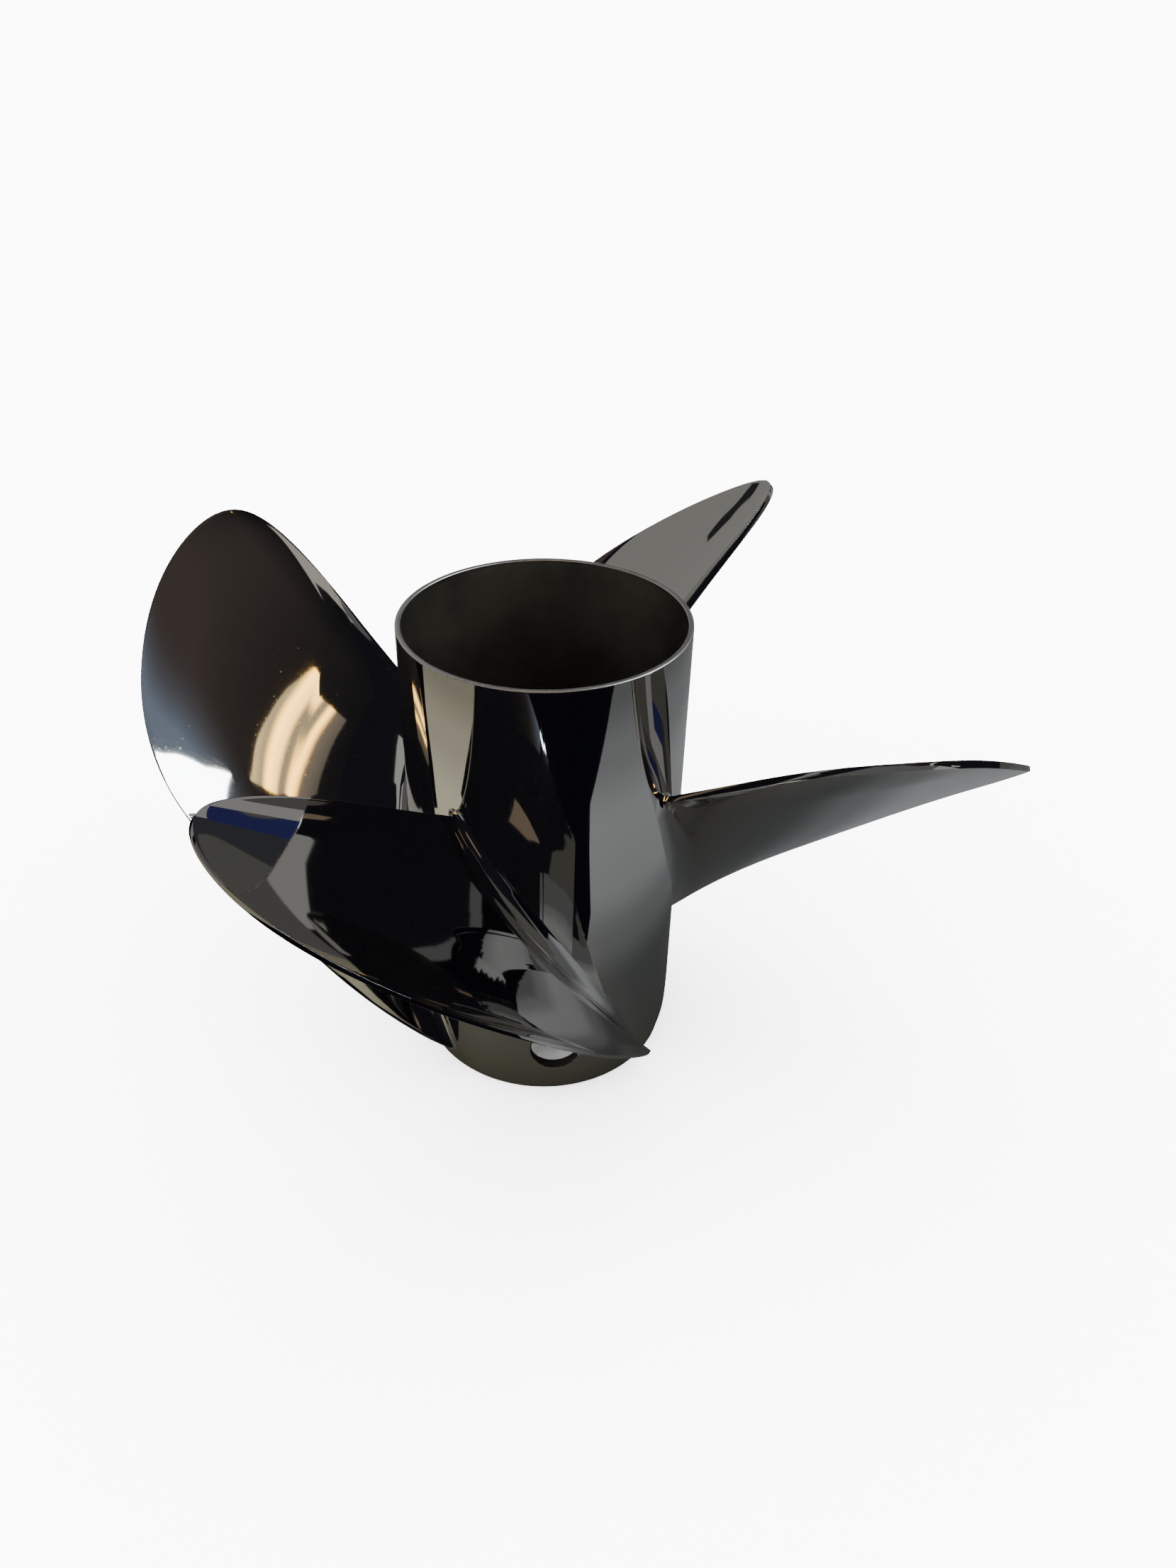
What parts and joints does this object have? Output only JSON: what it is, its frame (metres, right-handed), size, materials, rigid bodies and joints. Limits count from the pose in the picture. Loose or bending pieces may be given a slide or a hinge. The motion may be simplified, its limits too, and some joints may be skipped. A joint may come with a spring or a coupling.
{
  "type": "four-blade through-hub-exhaust stern-drive propeller, left-hand",
  "caption": "Mirror-polished stainless steel boat propeller with raked, cupped blades on an open exhaust barrel.",
  "frame": {"origin": "on the shaft axis, at the forward end face of the barrel, which it stands on", "axes": "+Z along the shaft, from the forward end to the open aft rim; the first blade's tip lies towards -X -Y"},
  "size_m": [0.3518, 0.3518, 0.2021],
  "materials": {
    "polished_steel": "mirror polished",
    "cast_steel": "satin as cast",
    "black_rubber": "matte",
    "sleeve_brass": "machined"
  },
  "bodies": {
    "root": {"barrel": "polished_steel", "blade_1": "polished_steel", "blade_2": "polished_steel", "blade_3": "polished_steel", "blade_4": "polished_steel", "inner_hub": "cast_steel", "rib_1": "cast_steel", "rib_2": "cast_steel", "rib_3": "cast_steel", "rib_4": "cast_steel", "rubber_bush": "black_rubber", "splined_sleeve": "sleeve_brass"}
  },
  "joints": []
}
